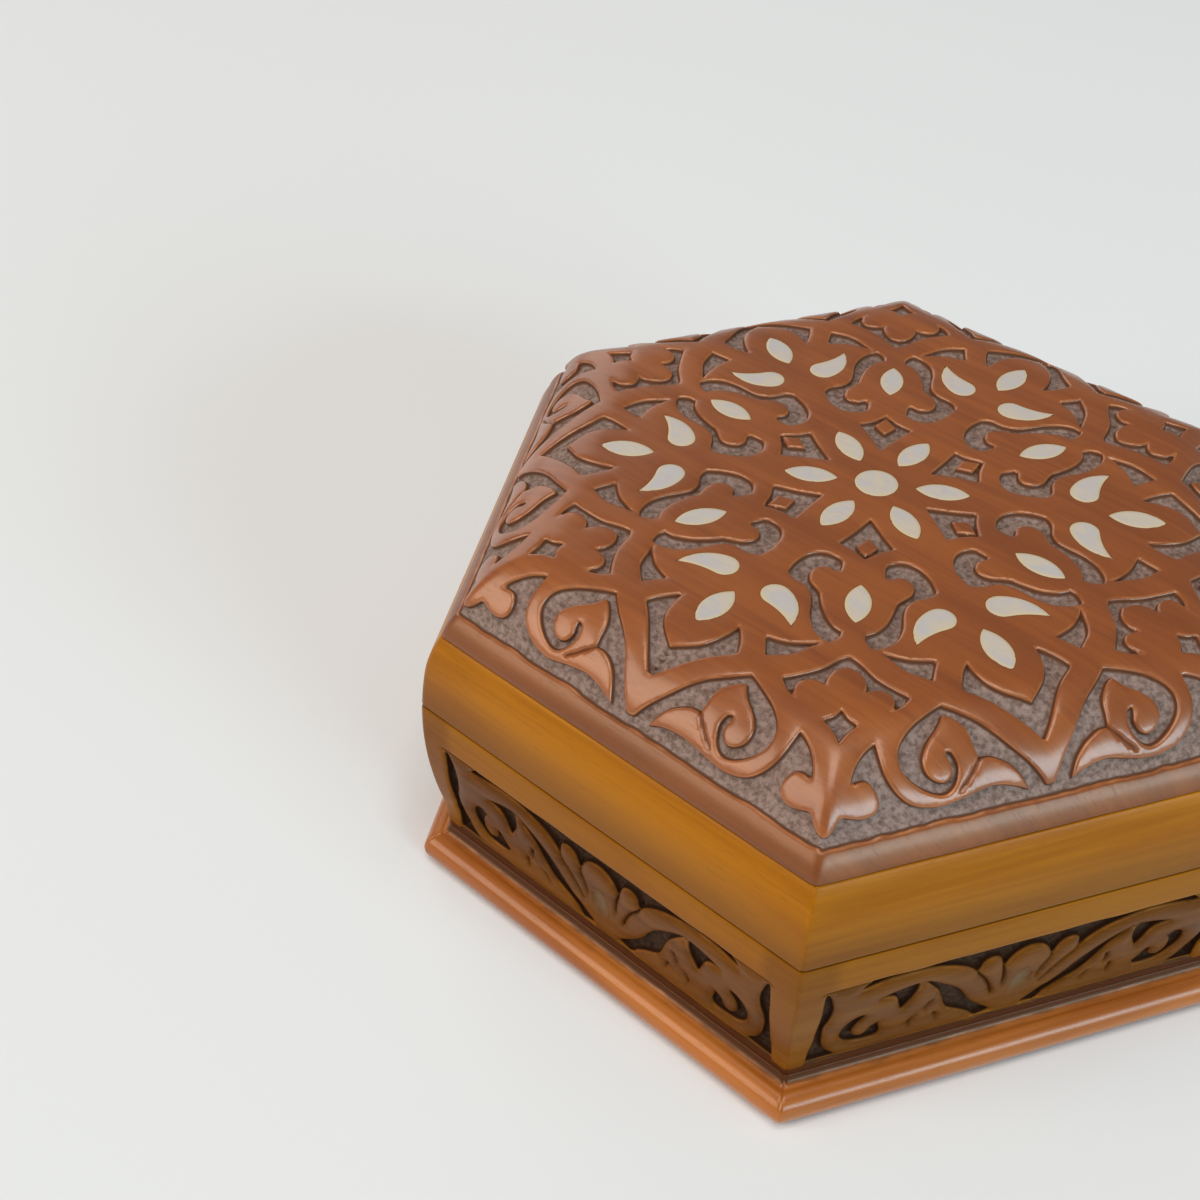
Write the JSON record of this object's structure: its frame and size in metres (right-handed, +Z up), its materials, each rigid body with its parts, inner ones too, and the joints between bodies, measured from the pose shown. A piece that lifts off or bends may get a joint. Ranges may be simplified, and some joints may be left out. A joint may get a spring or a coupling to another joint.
{
  "type": "dice box with hinged lid",
  "caption": "Hexagonal carved wooden box for dice and small pieces, with a hinged domed lid, pearl inlays and a rounded plinth.",
  "frame": {"origin": "centre of the box's underside, on the table", "axes": "+Z up through the lid, front face along -Y, hinges at +Y, two corners of the hexagon on X"},
  "size_m": [0.161, 0.1394, 0.068],
  "materials": {
    "carved_wood": "satin",
    "rail_wood": "satin",
    "wall_wood": "satin",
    "plinth_wood": "satin",
    "board_wood": "matte",
    "pearl": "gloss",
    "brass": "satin",
    "velvet": "matte"
  },
  "bodies": {
    "base": {"bottom_board": "board_wood", "floor_lining": "velvet", "plinth_moulding_1": "plinth_wood", "plinth_moulding_2": "plinth_wood", "plinth_moulding_3": "plinth_wood", "plinth_moulding_4": "plinth_wood", "plinth_moulding_5": "plinth_wood", "plinth_moulding_6": "plinth_wood", "base_wall_1": "wall_wood", "base_wall_2": "wall_wood", "base_wall_3": "wall_wood", "base_wall_4": "wall_wood", "base_wall_5": "wall_wood", "base_wall_6": "wall_wood", "wall_lining_1": "velvet", "wall_lining_2": "velvet", "wall_lining_3": "velvet", "wall_lining_4": "velvet", "wall_lining_5": "velvet", "wall_lining_6": "velvet", "base_hinge_leaf_1": "brass", "base_hinge_leaf_2": "brass", "hinge_pin_1": "brass", "hinge_pin_2": "brass", "base_leaf_screws": "brass"},
    "lid": {"lid_top": "carved_wood", "lid_lining": "velvet", "lid_rail_1": "rail_wood", "lid_rail_2": "rail_wood", "lid_rail_3": "rail_wood", "lid_rail_4": "rail_wood", "lid_rail_5": "rail_wood", "lid_rail_6": "rail_wood", "lid_hinge_leaf_1": "brass", "lid_hinge_leaf_2": "brass", "lid_leaf_screws": "brass", "pearl_centre": "pearl", "pearl_star_petal_1": "pearl", "pearl_star_petal_2": "pearl", "pearl_star_petal_3": "pearl", "pearl_star_petal_4": "pearl", "pearl_star_petal_5": "pearl", "pearl_star_petal_6": "pearl", "pearl_bud_1": "pearl", "pearl_bud_2": "pearl", "pearl_bud_3": "pearl", "pearl_bud_4": "pearl", "pearl_bud_5": "pearl", "pearl_bud_6": "pearl", "pearl_flower_1": "pearl", "pearl_flower_2": "pearl", "pearl_flower_3": "pearl", "pearl_flower_4": "pearl", "pearl_flower_5": "pearl", "pearl_flower_6": "pearl"}
  },
  "joints": [
    {"name": "lid_hinge", "type": "hinge", "parent": "base", "child": "lid", "pos_m": [0, 0.0662, 0.03885], "axis": [-1, 0, 0], "range_deg": [0, 105]}
  ]
}
